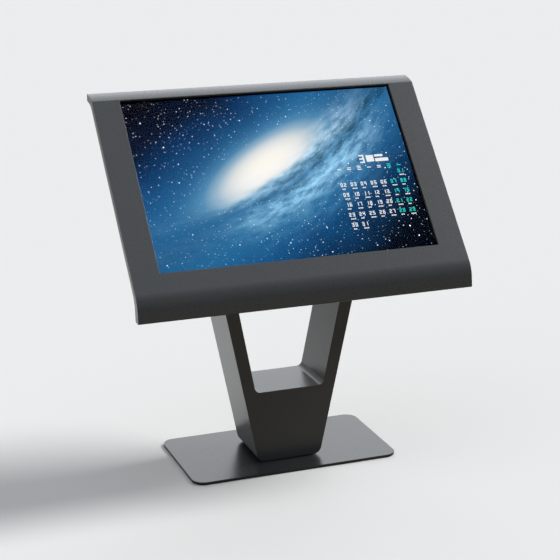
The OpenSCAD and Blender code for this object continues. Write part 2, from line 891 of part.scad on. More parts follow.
module pedestal_hinge_pins() {
    length = 3 * pedestal_knuckle + 2 * knuckle_gap + 1;
    color("silver") for (s = [-1, 1])
        at_pedestal_hinge(s * pedestal_hinge_z) cylinder(h = length, r = pin_r, center = true);
}

module pedestal_door() {
    x = pedestal_door_w / 2;
    z = pedestal_door_h / 2;
    color("#46484a") union() {
        translate([0, 0, pedestal_door_z]) difference() {
            block([-x, stand_back - 10, -z], [x, stand_back, z]);
            block([door_rim - x, stand_back - 11, door_rim - z],
                  [x - door_rim, stand_back - skin_t, z - door_rim]);
            block([x - 4, stand_back - 11, -cam_w], [x + 1, stand_back - skin_t, cam_len + 4]);
            rod_y(pedestal_lock_x, 0, stand_back - 5, stand_back + 5, lock_r);
        }
        for (k = knuckle_places(pedestal_hinge_z, pedestal_knuckle, [0]))
            at_pedestal_hinge(k) knuckle(pedestal_knuckle, pin_r + fit_gap);
    }
}

// Puts a lock's own frame on the door: +Z inwards (to -Y), +X up
module at_pedestal_lock() {
    translate([pedestal_lock_x, stand_back, pedestal_door_z])
        rotate([90, 0, 0]) rotate([0, 0, 90]) children();
}

module pedestal_lock_body() {
    color("silver") at_pedestal_lock() lock_body(4, skin_t);
}

module pedestal_lock_plug() {
    color("lightgray") at_pedestal_lock() lock_plug(skin_t);
}

function inlet_screw_points() = [for (x = [-1, 1], z = [-1, 1])
    [x * (inlet_plate_size.x / 2 - 4.5), inlet_z + z * (inlet_plate_size.y / 2 - 5)]];

module inlet_plate() {
    size = inlet_plate_size;
    y0 = stand_back;
    color("#b0b0b0") difference() {
        block([-size.x / 2, y0, inlet_z - size.y / 2], [size.x / 2, y0 + 2, inlet_z + size.y / 2]);
        block([inlet_x - 14.1, y0 - 1, inlet_z - 10.1], [inlet_x + 14.1, y0 + 3, inlet_z + 10.1]);
        block([switch_x - 8.1, y0 - 1, inlet_z - 13.1], [switch_x + 8.1, y0 + 3, inlet_z + 13.1]);
        block([network_x - 8.1, y0 - 1, inlet_z - 7.1], [network_x + 8.1, y0 + 3, inlet_z + 7.1]);
        for (c = inlet_screw_points()) rod_y(c.x, c.y, y0 - 1, y0 + 3, 1.6);
    }
}

module inlet_plate_screws() {
    color("gray") for (c = inlet_screw_points())
        translate([c.x, stand_back + 2, c.y]) rotate([-90, 0, 0]) screw(1.5, 7);
}

// The inlet's opening, a rectangle with two cut corners, in (x, z)
module inlet_shape(grow) {
    w = 12 + grow;
    h = 8 + grow;
    polygon([[-w, -h], [w, -h], [w, h - 4], [w - 4, h], [-w + 4, h], [-w, h - 4]]);
}

module mains_inlet() {
    y0 = stand_back + 2;
    color("#181818") difference() {
        union() {
            along_y(y0, y0 + 2) translate([inlet_x, inlet_z]) round_rect([34, 26], 3);
            along_y(y0 - 26, y0 + eps) translate([inlet_x, inlet_z]) square([28, 20], center = true);
        }
        along_y(y0 - 16, y0 + 3) translate([inlet_x, inlet_z]) inlet_shape(0);
        rod_y(inlet_x, inlet_z, y0 - 27, y0 - 19, lead_r + lead_slack);
    }
}

module inlet_pins() {
    y0 = stand_back + 2;
    color("gold") for (p = [[-7, -2.5], [0, 2.5], [7, -2.5]])
        block([inlet_x + p[0] - 1, y0 - 16, inlet_z + p[1] - 2],
              [inlet_x + p[0] + 1, y0 - 2, inlet_z + p[1] + 2]);
}

module power_switch_frame() {
    y0 = stand_back + 2;
    color("#181818") difference() {
        union() {
            along_y(y0, y0 + 1.5) translate([switch_x, inlet_z]) round_rect([20, 30], 2);
            along_y(y0 - 20, y0 + eps) translate([switch_x, inlet_z]) square([16, 26], center = true);
        }
        block([switch_x - 6.3, y0 - 15, inlet_z - 11.8], [switch_x + 6.3, y0 + 3, inlet_z + 11.8]);
        translate([switch_x, y0 - 2, inlet_z]) rod_x(-7.5, 7.5, 1.5 + fit_gap);
    }
}

module power_switch_rocker() {
    color("#302020") translate([switch_x, stand_back, inlet_z]) rotate([-rocker_tilt, 0, 0])
        union() {
            intersection() {
                rod_x(-6, 6, 11.3);
                rotate([90, 0, 90]) translate([0, 0, -6]) linear_extrude(12)
                    polygon([[-5, -4], [-5, 4], [3, 12], [6, 12], [4, 0], [6, -12], [3, -12]]);
            }
            rod_x(-7.2, 7.2, 1.5);
        }
}

module network_socket() {
    y0 = stand_back + 2;
    color("#202020") difference() {
        union() {
            along_y(y0, y0 + 1) translate([network_x, inlet_z]) square([19, 17], center = true);
            along_y(y0 - 20, y0 + eps) translate([network_x, inlet_z]) square([16, 14], center = true);
        }
        block([network_x - 5.9, y0 - 13, inlet_z - 4], [network_x + 5.9, y0 + 2, inlet_z + 4]);
        block([network_x - 3, y0 - 13, inlet_z - 5.5], [network_x + 3, y0 + 2, inlet_z + 1]);
        rod_y(network_x, inlet_z, y0 - 21, y0 - 15, network_r + lead_slack);
    }
}

// ---------- leads inside the stand ----------

function smooth_point(a, b, c, d, t) =
    0.5 * (2 * b + (c - a) * t + (2 * a - 5 * b + 4 * c - d) * t * t + (3 * b - a - 3 * c + d) * t * t * t);

// A smooth curve through every point of the route, with a few steps to each
function smooth_route(route, steps) =
    let (last = len(route) - 1)
    [for (i = [0:last - 1], k = [0:i == last - 1 ? steps : steps - 1])
        smooth_point(route[max(i - 1, 0)], route[i], route[i + 1], route[min(i + 2, last)], k / steps)];

// A round tube swept along a curve; no part of the curve runs along the side vector
module swept_tube(line, r, side) {
    last = len(line) - 1;
    count = 8;
    points = [for (i = [0:last])
        let (t = unit(line[min(i + 1, last)] - line[max(i - 1, 0)]))
        let (a = unit(cross(t, side)), b = cross(t, a))
        for (k = [0:count - 1]) line[i] + r * (a * cos(360 * k / count) + b * sin(360 * k / count))];
    rings = [for (i = [0:last - 1], k = [0:count - 1])
        [i * count + k, i * count + (k + 1) % count, (i + 1) * count + (k + 1) % count, (i + 1) * count + k]];
    ends = [[for (k = [count - 1:-1:0]) k], [for (k = [0:count - 1]) last * count + k]];
    polyhedron(points = points, faces = concat(rings, ends), convexity = 6);
}

function arm_point(s, y, z) = [s * arm_mid(z), y, z];

// Up through an arm and its grommet; both leads share this stretch
function arm_route(s) = [[s * 131, 34, 235], arm_point(s, 40, 270), arm_point(s, 44, 330),
    for (z = [420:100:620]) arm_point(s, 46, z), arm_point(s, 44, 700),
    for (n = [-152, -134, -116]) head_point(s * arm_mid(cap_z(grommet_u)), grommet_u, n)];

mains_route = concat(
    [[inlet_x, 76, inlet_z], [inlet_x, 68, inlet_z], [inlet_x, 58, inlet_z],
     [-38, 34, 62], [-70, 24, 120], [-105, 28, 190]],
    arm_route(-1), [head_point(-232, -104, -92), head_point(-206, -92, -80), head_point(-175, -90, -80)]);

network_route = concat(
    [[network_x, 78, inlet_z], [network_x, 69, inlet_z], [network_x, 58, inlet_z],
     [42, 34, 62], [70, 24, 120], [105, 28, 190]],
    arm_route(1), [head_point(232, -112, -92), head_point(206, -112, -83), head_point(181, -112, -83)]);

module mains_lead() {
    color("black") swept_tube(smooth_route(mains_route, 4), lead_r, [0.6, 0.5, -0.6]);
}

module network_lead() {
    color("steelblue") swept_tube(smooth_route(network_route, 4), network_r, [-0.6, 0.5, -0.6]);
}

// Saddles that hold the leads to the inner skins of the arms
module cable_clips() {
    color("whitesmoke") for (s = [-1, 1], z = [420, 520, 620])
        translate(arm_point(s, 46, z)) rotate([0, s * atan((outer_flare + inner_flare) / 2), 0])
        difference() {
            block([min(-s * 17.5, s * 6), -7, -5], [max(-s * 17.5, s * 6), 7, 5]);
            translate([0, 0, -6]) cylinder(h = 12, r = lead_r + 0.6);
        }
}

base_mat();
base_plate();
foot_pad();
foot_flange();
foot_bolts();
foot_washers();
stand_front_plate();
stand_rear_plate();
stand_outer_skin();
stand_inner_skin();
arm_cap_left();
arm_cap_right();
head_bolts();
cable_grommets();
pedestal_door();
pedestal_hinge_pins();
pedestal_lock_body();
pedestal_lock_plug();
inlet_plate();
inlet_plate_screws();
mains_inlet();
inlet_pins();
power_switch_frame();
power_switch_rocker();
network_socket();
mains_lead();
network_lead();
cable_clips();
front_cover();
glass_gasket();
touch_glass();
touch_flex();
touch_controller();
display_panel();
light_guide();
backlight_tray();
panel_rail_left();
panel_rail_right();
rail_screws();
equipment_plate();
media_player();
power_supply();
display_board();
display_ribbon();
rear_tub();
tub_screws();
service_door();
service_hinge_pins();
service_lock_body();
service_lock_plug();
fan_frame_left();
fan_frame_right();
fan_rotor_left();
fan_rotor_right();
fan_screws();
speaker_left();
speaker_right();
speaker_cones();
power_button_bezel();
power_button();
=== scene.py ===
"""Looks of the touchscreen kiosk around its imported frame: materials, fine pieces, light and camera.

Everything is in metres in the frame's own axes: X across the screen, Y from the user to the back, Z up.
"""
import json
import math
import bmesh
import bpy
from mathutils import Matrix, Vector


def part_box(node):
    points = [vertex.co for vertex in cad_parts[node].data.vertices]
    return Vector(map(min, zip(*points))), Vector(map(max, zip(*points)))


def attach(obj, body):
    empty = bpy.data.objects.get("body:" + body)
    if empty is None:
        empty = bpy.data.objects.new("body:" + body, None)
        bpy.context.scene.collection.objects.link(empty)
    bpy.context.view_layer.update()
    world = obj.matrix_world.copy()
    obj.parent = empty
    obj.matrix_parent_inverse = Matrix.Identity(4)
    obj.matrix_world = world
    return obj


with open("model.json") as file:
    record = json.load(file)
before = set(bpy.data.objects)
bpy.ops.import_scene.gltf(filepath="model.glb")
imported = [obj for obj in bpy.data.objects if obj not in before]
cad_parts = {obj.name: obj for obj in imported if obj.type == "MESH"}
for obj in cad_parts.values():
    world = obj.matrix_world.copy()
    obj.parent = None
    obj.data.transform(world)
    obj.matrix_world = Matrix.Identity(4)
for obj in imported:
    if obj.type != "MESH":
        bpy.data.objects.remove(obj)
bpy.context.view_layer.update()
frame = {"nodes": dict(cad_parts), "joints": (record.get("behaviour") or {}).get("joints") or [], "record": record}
MM = 0.001

# ---------- camera ----------

# Degrees round and above the object, metres away from the point looked at, and the lens in millimetres
VIEW_AZIMUTH = -20.754
VIEW_ELEVATION = 16.571
VIEW_DISTANCE = 5.0668
LOOK_AT = Vector((0.0566, 0.1329, 0.5460))
LENS = 98.06
VIEW_END = 200


def direction(azimuth, elevation):
    """The unit vector from the object to a viewer at that azimuth and elevation."""
    a, e = math.radians(azimuth), math.radians(elevation)
    return Vector((math.sin(a) * math.cos(e), -math.cos(a) * math.cos(e), math.sin(e)))


def make_camera():
    """The camera at the photograph's viewing angle."""
    camera = bpy.data.objects.new("camera", bpy.data.cameras.new("camera"))
    bpy.context.scene.collection.objects.link(camera)
    back = direction(VIEW_AZIMUTH, VIEW_ELEVATION)
    camera.location = LOOK_AT + back * VIEW_DISTANCE
    camera.rotation_mode = "QUATERNION"
    camera.rotation_quaternion = back.to_track_quat("Z", "Y")
    camera.data.lens = LENS
    camera.data.clip_end = VIEW_END
    bpy.context.scene.camera = camera


# ---------- node trees ----------

class Nodes:
    """Short calls for the nodes of one tree. An input is a number, a colour or another node's output."""

    def __init__(self, tree):
        self.tree = tree

    def put(self, socket, value):
        if isinstance(value, bpy.types.NodeSocket):
            self.tree.links.new(value, socket)
        elif socket.type == "VECTOR":
            socket.default_value = value[:3]
        else:
            socket.default_value = value

    def add(self, kind, inputs, **settings):
        node = self.tree.nodes.new(kind)
        for name, value in settings.items():
            setattr(node, name, value)
        for key, value in inputs.items():
            self.put(node.inputs[key], value)
        return node

    def math(self, operation, a, b=0.0, clamp=False):
        return self.add("ShaderNodeMath", {0: a, 1: b}, operation=operation, use_clamp=clamp).outputs[0]

    def vector(self, operation, a, b):
        node = self.add("ShaderNodeVectorMath", {0: a, 1: b}, operation=operation)
        return node.outputs["Value" if operation == "DOT_PRODUCT" else "Vector"]

    def scaled(self, vector, scale):
        return self.vector("MULTIPLY", vector, scale)

    def dim(self, colour, factor):
        """A colour times a number."""
        return self.add("ShaderNodeVectorMath", {0: colour, "Scale": factor}, operation="SCALE").outputs[0]

    def smooth(self, value, low, high, start=0.0, end=1.0):
        """start below low, end above high, and a smooth step between them."""
        node = self.add("ShaderNodeMapRange", {0: value, 1: low, 2: high, 3: start, 4: end})
        node.interpolation_type = "SMOOTHSTEP"
        return node.outputs[0]

    def noise(self, vector, scale, detail=2.0, roughness=0.5):
        inputs = {"Vector": vector, "Scale": scale, "Detail": detail, "Roughness": roughness}
        return self.add("ShaderNodeTexNoise", inputs).outputs["Fac"]

    def voronoi(self, vector, scale, randomness=1.0, **settings):
        inputs = {"Vector": vector, "Scale": scale, "Randomness": randomness}
        return self.add("ShaderNodeTexVoronoi", inputs, **settings)

    def mix(self, factor, a, b, blend="MIX"):
        node = self.add("ShaderNodeMix", {}, data_type="RGBA", blend_type=blend)
        for key, value in ((0, factor), (6, a), (7, b)):
            self.put(node.inputs[key], value)
        return node.outputs[2]

    def ramp(self, value, stops):
        """A colour for each value: stops are (place, colour)."""
        node = self.add("ShaderNodeValToRGB", {0: value})
        elements = node.color_ramp.elements
        while len(elements) < len(stops):
            elements.new(0.5)
        for element, (place, colour) in zip(elements, stops):
            element.position = place
            element.color = colour
        return node.outputs[0]

    def bump(self, height, distance):
        inputs = {"Height": height, "Distance": distance, "Strength": 1.0}
        return self.add("ShaderNodeBump", inputs).outputs[0]


class Finish(Nodes):
    """A material with a Principled surface, textured by the object's own coordinates."""

    def __init__(self, name, roughness, metallic=0.0, specular=0.5):
        self.material = bpy.data.materials.new(name)
        self.material.use_nodes = True
        super().__init__(self.material.node_tree)
        self.surface = self.tree.nodes["Principled BSDF"]
        self.set("Roughness", roughness)
        self.set("Metallic", metallic)
        self.set("Specular IOR Level", specular)
        self.place = self.add("ShaderNodeTexCoord", {}).outputs["Object"]

    def set(self, name, value):
        self.put(self.surface.inputs[name], value)

    def vary(self, name, texture, low, high):
        """An input that follows a texture between two values."""
        self.set(name, self.smooth(texture, 0.3, 0.7, low, high))


def rgb(red, green, blue):
    return (red, green, blue, 1.0)


def shade(colour, factor):
    return rgb(*[c * factor for c in colour[:3]])


# ---------- finishes: a texture's scale is in waves or cells a metre ----------

def powder_coat(name, colour, roughness):
    """Satin powder coat: fine orange peel, a little unevenness and faint handling marks."""
    f = Finish(name, roughness)
    peel = f.noise(f.place, 420, 3.0, 0.6)
    cloud = f.noise(f.place, 5, 4.0, 0.6)
    specks = f.smooth(f.noise(f.place, 1500, 1.0), 0.62, 0.75)
    marks = f.smooth(f.noise(f.scaled(f.place, (1, 1, 0.25)), 14, 6.0, 0.7), 0.55, 0.8)
    tone = f.mix(cloud, shade(colour, 0.93), shade(colour, 1.07))
    f.set("Base Color", f.mix(f.math("MULTIPLY", specks, 0.5), tone, shade(colour, 1.5)))
    f.set("Roughness", f.math("ADD", f.smooth(peel, 0.3, 0.7, roughness - 0.03, roughness + 0.03),
                              f.math("MULTIPLY", marks, -0.04)))
    f.set("Normal", f.bump(peel, 0.05 * MM))
    return f.material


def rolled_sheet(name, colour, roughness):
    """Plated or rolled sheet metal: fine streaks one way, and a faint spangle."""
    f = Finish(name, roughness, metallic=1.0)
    streaks = f.noise(f.scaled(f.place, (1, 0.04, 1)), 900, 3.0, 0.7)
    spangle = f.add("ShaderNodeSeparateColor", {0: f.voronoi(f.place, 90).outputs["Color"]}).outputs[0]
    tone = f.mix(streaks, shade(colour, 0.86), shade(colour, 1.08))
    f.set("Base Color", f.mix(0.12, tone, spangle, "OVERLAY"))
    f.vary("Roughness", streaks, roughness - 0.08, roughness + 0.10)
    f.set("Normal", f.bump(streaks, 0.01 * MM))
    return f.material


def turned_metal(name, colour, roughness):
    """Bright machined or plated metal with hairline marks."""
    f = Finish(name, roughness, metallic=1.0)
    hairs = f.noise(f.scaled(f.place, (1, 1, 0.1)), 2400, 2.0, 0.8)
    film = f.noise(f.place, 60, 4.0)
    f.set("Base Color", f.mix(film, shade(colour, 0.9), shade(colour, 1.05)))
    f.vary("Roughness", hairs, roughness * 0.7, roughness * 1.4)
    f.set("Normal", f.bump(hairs, 0.004 * MM))
    return f.material


def moulded(name, colour, roughness, grain=0.03 * MM, scale=900):
    """Moulded plastic or rubber with a spark-eroded texture."""
    f = Finish(name, roughness)
    texture = f.noise(f.place, scale, 4.0, 0.6)
    cloud = f.noise(f.place, 30, 3.0)
    f.set("Base Color", f.mix(cloud, shade(colour, 0.88), shade(colour, 1.12)))
    f.vary("Roughness", texture, roughness - 0.06, roughness + 0.06)
    f.set("Normal", f.bump(texture, grain))
    return f.material


def circuit_board(name, colour):
    """Green solder resist over copper tracks, with bright pads."""
    f = Finish(name, 0.35)
    grid = f.voronoi(f.place, 260, distance="CHEBYCHEV")
    tracks = f.smooth(grid.outputs["Distance"], 0.38, 0.42)
    pads = f.smooth(f.voronoi(f.place, 420).outputs["Distance"], 0.17, 0.14)
    resist = f.mix(tracks, colour, shade(colour, 1.9))
    f.set("Base Color", f.mix(pads, resist, rgb(0.72, 0.66, 0.52)))
    f.set("Metallic", f.math("MULTIPLY", pads, 0.9))
    f.set("Normal", f.bump(f.math("ADD", tracks, pads), 0.03 * MM))
    return f.material


def striped_film(name, colour, line, pitch, share):
    """A flat flexible cable: parallel conductors seen through its film, running across X."""
    f = Finish(name, 0.3)
    across = f.add("ShaderNodeSeparateXYZ", {0: f.place}).outputs["X"]
    phase = f.math("FRACT", f.math("MULTIPLY", across, 1 / pitch))
    edge = f.math("ABSOLUTE", f.math("SUBTRACT", phase, 0.5))
    tracks = f.smooth(edge, share / 2 + 0.05, share / 2 - 0.05)
    cloud = f.noise(f.place, 200, 2.0)
    film = f.mix(cloud, shade(colour, 0.9), shade(colour, 1.1))
    f.set("Base Color", f.mix(tracks, film, line))
    f.set("Normal", f.bump(tracks, 0.04 * MM))
    return f.material


# Coated glass reflects about as little as bare glass of this index would
ANTIREFLECTION_IOR = 1.16


def clear_glass(name):
    """Coated glass with faint smears."""
    f = Finish(name, 0.02)
    smears = f.noise(f.place, 9, 5.0, 0.65)
    f.set("Base Color", rgb(1, 1, 1))
    f.set("Transmission Weight", 1.0)
    f.set("IOR", ANTIREFLECTION_IOR)
    f.vary("Roughness", smears, 0.0, 0.03)
    return f.material


def acrylic_guide(name):
    """Clear sheet with a printed grid of white dots."""
    f = Finish(name, 0.15)
    dots = f.smooth(f.voronoi(f.place, 320, randomness=0.0).outputs["Distance"], 0.3, 0.25)
    f.set("Base Color", f.mix(dots, rgb(0.72, 0.78, 0.80), rgb(0.95, 0.95, 0.95)))
    f.set("Normal", f.bump(dots, 0.02 * MM))
    return f.material


def paper_cone(name, colour):
    """Pressed paper with its fibres running round."""
    f = Finish(name, 0.75)
    fibres = f.noise(f.scaled(f.place, (1, 3, 1)), 700, 6.0, 0.75)
    f.set("Base Color", f.mix(fibres, shade(colour, 0.7), shade(colour, 1.5)))
    f.set("Normal", f.bump(fibres, 0.08 * MM))
    return f.material


def ribbed_jacket(name, colour):
    """Cable jacket: smooth, with the lay of the cores showing faintly through it."""
    f = Finish(name, 0.45)
    lay = f.noise(f.scaled(f.place, (1, 1, 3)), 120, 2.0)
    grain = f.noise(f.place, 1500, 2.0)
    f.set("Base Color", f.mix(lay, shade(colour, 0.85), shade(colour, 1.15)))
    f.vary("Roughness", grain, 0.38, 0.52)
    f.set("Normal", f.bump(f.math("ADD", lay, f.math("MULTIPLY", grain, 0.2)), 0.08 * MM))
    return f.material


def lit(name, colour):
    """A part of the picture that is one bright colour, with a faint pixel grid."""
    f = Finish(name, 0.4, specular=0.0)
    f.set("Base Color", rgb(0, 0, 0))
    cells = f.voronoi(f.place, 1800, randomness=0.0, distance="CHEBYCHEV").outputs["Distance"]
    f.set("Emission Color", f.mix(f.smooth(cells, 0.40, 0.48), colour, shade(colour, 0.8)))
    f.set("Emission Strength", 1.0)
    return f.material


# ---------- the picture on the screen ----------

X_AXIS = Vector((1, 0, 0))
LOCK_AXIS = Vector(next(j["axis"] for j in frame["joints"] if j["name"] == "service_lock_turn"))
SCREEN_OUT = -LOCK_AXIS.normalized()
SCREEN_UP = Vector((0, SCREEN_OUT.z, -SCREEN_OUT.y))

# Degrees that the galaxy's long axis rises to the right, and its middle on the screen in metres
GALAXY_TILT = 31
GALAXY_PLACE = (-0.020, 0.025)
# The dust lane is a shallow arc: its depth below the long axis, the place along the axis where it is
# lowest, how fast it rises to both ends, and how far it wanders
LANE_BELOW = 0.066
LANE_LOWEST = 0.06
LANE_RISE = 0.36
LANE_WANDER = 0.06
# The core's half length and half height, and its middle above the long axis
CORE_HALF = (0.245, 0.085)
CORE_ABOVE = 0.02
HALO = rgb(0.030, 0.110, 0.160)
HALO_FALL = -0.42
# Right of this place along the axis the sky's colours turn down by this slope
TURN_START = 0.05
TURN_SLOPE = -0.25
SKY_CLOUDS = 0.14


def middle_of(node):
    """The middle of a CAD node's box."""
    low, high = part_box(node)
    return (low + high) / 2


def head_size(node):
    """Width, height up the slope and thickness of a flat sheet that lies in the head's own plane."""
    low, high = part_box(node)
    size = high - low
    c, s = SCREEN_UP.y, SCREEN_UP.z
    det = c * c - s * s
    return size.x, (size.y * c - size.z * s) / det, (size.z * c - size.y * s) / det


def on_screen(x, up, out=0.0):
    """A point given from the middle of the display's front face."""
    front = middle_of("display_panel") + SCREEN_OUT * head_size("display_panel")[2] / 2
    return front + X_AXIS * x + SCREEN_UP * up + SCREEN_OUT * out


def stars(f, plane, scale, radius, share, brightness):
    """Points of light: one in each cell, lit for a share of the cells, each with its own size and tint."""
    cells = f.voronoi(plane, scale, voronoi_dimensions="2D")
    chance = f.add("ShaderNodeSeparateColor", {0: cells.outputs["Color"]})
    size = f.smooth(chance.outputs[0], 1 - share, 1.0, 0.001, radius)
    near = f.math("SUBTRACT", 1.0, f.math("DIVIDE", cells.outputs["Distance"], size), clamp=True)
    tint = f.mix(chance.outputs[1], rgb(0.62, 0.82, 1.0), rgb(1.0, 0.96, 0.88))
    return f.dim(tint, f.math("MULTIPLY", f.math("POWER", near, 1.3), brightness))


# Colours across the galaxy, from below it to above it: (metres from its long axis, colour)
SKY_STOPS = (
    (-0.56, rgb(0.000, 0.000, 0.002)), (-0.44, rgb(0.000, 0.002, 0.008)),
    (-0.33, rgb(0.002, 0.034, 0.105)), (-0.22, rgb(0.005, 0.085, 0.235)),
    (-0.12, rgb(0.010, 0.120, 0.290)), (-0.03, rgb(0.005, 0.080, 0.220)),
    (0.07, rgb(0.005, 0.095, 0.255)), (0.15, rgb(0.002, 0.060, 0.190)),
    (0.23, rgb(0.000, 0.026, 0.105)), (0.31, rgb(0.000, 0.003, 0.020)),
    (0.42, rgb(0.000, 0.000, 0.003)))
# Colours of the bright band, from below its dust lane to above it: (metres from the lane, colour)
BAND_STOPS = (
    (-0.20, rgb(0.000, 0.000, 0.000)), (-0.12, rgb(0.030, 0.080, 0.110)),
    (-0.055, rgb(0.240, 0.400, 0.460)), (-0.03, rgb(0.160, 0.280, 0.340)),
    (-0.01, rgb(0.030, 0.060, 0.085)), (0.01, rgb(0.140, 0.215, 0.255)),
    (0.03, rgb(0.300, 0.380, 0.405)), (0.10, rgb(0.000, 0.000, 0.000)))
# Colours of the core, from its edge to its middle: (strength, colour)
CORE_STOPS = (
    (0.0, rgb(0.000, 0.000, 0.000)), (0.25, rgb(0.050, 0.105, 0.145)),
    (0.5, rgb(0.280, 0.340, 0.350)), (0.75, rgb(0.680, 0.670, 0.580)),
    (1.0, rgb(0.980, 0.930, 0.780)))
# Cells a metre, a star's radius in cells, share of cells with a star, brightness
STAR_SIZES = ((22, 0.062, 0.35, 4.5), (48, 0.100, 0.60, 2.6), (80, 0.140, 0.40, 1.6))


def spread(f, value, stops):
    """A ramp whose stops are given in the value's own units."""
    low, high = stops[0][0], stops[-1][0]
    place = f.math("DIVIDE", f.math("SUBTRACT", value, low), high - low, clamp=True)
    return f.ramp(place, [((at - low) / (high - low), colour) for at, colour in stops])


def galaxy_places(f):
    """Metres along the galaxy's long axis and across it, and the two as a vector for textures."""
    tilt = math.radians(GALAXY_TILT)
    major = X_AXIS * math.cos(tilt) + SCREEN_UP * math.sin(tilt)
    minor = SCREEN_UP * math.cos(tilt) - X_AXIS * math.sin(tilt)
    offset = f.vector("SUBTRACT", f.place, on_screen(*GALAXY_PLACE))
    along = f.vector("DOT_PRODUCT", offset, major)
    across = f.vector("DOT_PRODUCT", offset, minor)
    return along, across, f.add("ShaderNodeCombineXYZ", {0: along, 1: across}).outputs[0]


def dust(f, along, across):
    """Metres above the dust lane, which sags below the core, and the streaks that follow the lane."""
    from_lowest = f.math("SUBTRACT", along, LANE_LOWEST)
    sag = f.math("MULTIPLY", f.math("POWER", from_lowest, 2.0), LANE_RISE)
    above = f.math("SUBTRACT", f.math("ADD", across, LANE_BELOW), sag)
    flow = f.add("ShaderNodeCombineXYZ", {0: f.math("MULTIPLY", along, 0.3), 1: above}).outputs[0]
    drift = f.math("SUBTRACT", f.noise(flow, 14, 4.0, 0.6), 0.5)
    height = f.math("ADD", above, f.math("MULTIPLY", drift, LANE_WANDER))
    return height, f.noise(flow, 48, 7.0, 0.62)


def sky_level(f, along, across, plane):
    """Where a place falls among the sky's colours, stirred by soft clouds."""
    cloud = f.math("SUBTRACT", f.noise(plane, 6, 5.0, 0.6), 0.5)
    right = f.math("MAXIMUM", f.math("SUBTRACT", along, TURN_START), 0.0)
    turned = f.math("ADD", across, f.math("MULTIPLY", right, TURN_SLOPE))
    return f.math("ADD", turned, f.math("MULTIPLY", cloud, SKY_CLOUDS))


def bright_band(f, along, height, streaks):
    """The streaky band along the dust lane, brightest a little to the right of the core's middle."""
    from_middle = f.math("ABSOLUTE", f.math("SUBTRACT", along, 0.10))
    reach = f.smooth(from_middle, 0.10, 0.42, 1.2, 0.06)
    texture = f.smooth(streaks, 0.30, 0.68, 0.15, 1.25)
    return f.dim(spread(f, height, BAND_STOPS), f.math("MULTIPLY", reach, texture))


def hidden_by_dust(f, along, height, streaks):
    """The share of the sky that the dust hides: none far from the lane or at its left end."""
    near = f.smooth(f.math("ABSOLUTE", height), 0.010, 0.045, 1.0, 0.0)
    broken = f.smooth(streaks, 0.35, 0.62, 0.75, 0.10)
    return f.math("MULTIPLY", near, f.math("MULTIPLY", broken, f.smooth(along, -0.35, 0.10)))


def core_and_halo(f, along, across, height):
    """The strength of the core, cut off by the dust lane, and of the halo round it."""
    x = f.math("DIVIDE", along, CORE_HALF[0])
    y = f.math("DIVIDE", f.math("SUBTRACT", across, CORE_ABOVE), CORE_HALF[1])
    wide = f.math("ADD", f.math("POWER", x, 2.0), f.math("POWER", y, 2.0))
    core = f.math("EXPONENT", f.math("MULTIPLY", f.math("POWER", wide, 1.4), -1.0))
    core = f.math("MULTIPLY", core, f.smooth(height, 0.006, 0.046))
    return core, f.math("EXPONENT", f.math("MULTIPLY", wide, HALO_FALL))


def star_field(name):
    """A made-up tilted galaxy in a field of stars, lit from behind."""
    f = Finish(name, 0.25, specular=0.0)
    f.set("Base Color", rgb(0.0, 0.0, 0.0))
    along, across, plane = galaxy_places(f)
    height, streaks = dust(f, along, across)
    level = sky_level(f, along, across, plane)
    core, halo = core_and_halo(f, along, across, height)

    shown = f.math("SUBTRACT", 1.0, hidden_by_dust(f, along, height, streaks))
    picture = f.dim(spread(f, level, SKY_STOPS), shown)
    picture = f.vector("ADD", picture, bright_band(f, along, height, streaks))
    picture = f.vector("ADD", picture, f.dim(HALO, halo))
    picture = f.mix(1.0, picture, spread(f, core, CORE_STOPS), "SCREEN")
    # The haze along the galaxy's plane dims the stars, and the core outshines them
    haze = f.smooth(f.math("ABSOLUTE", f.math("ADD", level, 0.05)), 0.08, 0.36, 0.45, 1.0)
    clear = f.math("MULTIPLY", haze, f.smooth(core, 0.05, 0.4, 1.0, 0.0))
    for size in STAR_SIZES:
        picture = f.vector("ADD", picture, f.dim(stars(f, plane, *size), clear))
    f.set("Emission Color", picture)
    f.set("Emission Strength", 1.0)
    return f.material


# ---------- pieces ----------

def add_piece(name, mesh, material, body="root"):
    """A new piece that rides on a body and takes a slot's finish."""
    piece = bpy.data.objects.new(name, mesh)
    bpy.context.scene.collection.objects.link(piece)
    mesh.materials.append(material)
    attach(piece, body)


def plates(name, outlines, back, thickness):
    """One mesh of flat closed plates: each outline is a list of (x, up) points on the display's face."""
    bm = bmesh.new()
    for outline in outlines:
        low = [bm.verts.new(on_screen(x, up, back)) for x, up in outline]
        high = [bm.verts.new(on_screen(x, up, back + thickness)) for x, up in outline]
        bm.faces.new(high)
        bm.faces.new(low[::-1])
        for i in range(len(outline)):
            j = (i + 1) % len(outline)
            bm.faces.new((low[i], low[j], high[j], high[i]))
    mesh = bpy.data.meshes.new(name)
    bm.to_mesh(mesh)
    bm.free()
    return mesh


def bar(x0, up0, x1, up1):
    """The outline of a rectangle."""
    return [(x0, up0), (x1, up0), (x1, up1), (x0, up1)]


# The cover's lap over the glass, the ink that shows past it, the bare rim outside the ink, the ink's
# thickness, and the gap between the glass and the display
GLASS_LAP = 10.5 * MM
INK_SHOWN = 3.5 * MM
INK_RIM = 1.5 * MM
INK_T = 0.15 * MM
GLASS_GAP = 1 * MM


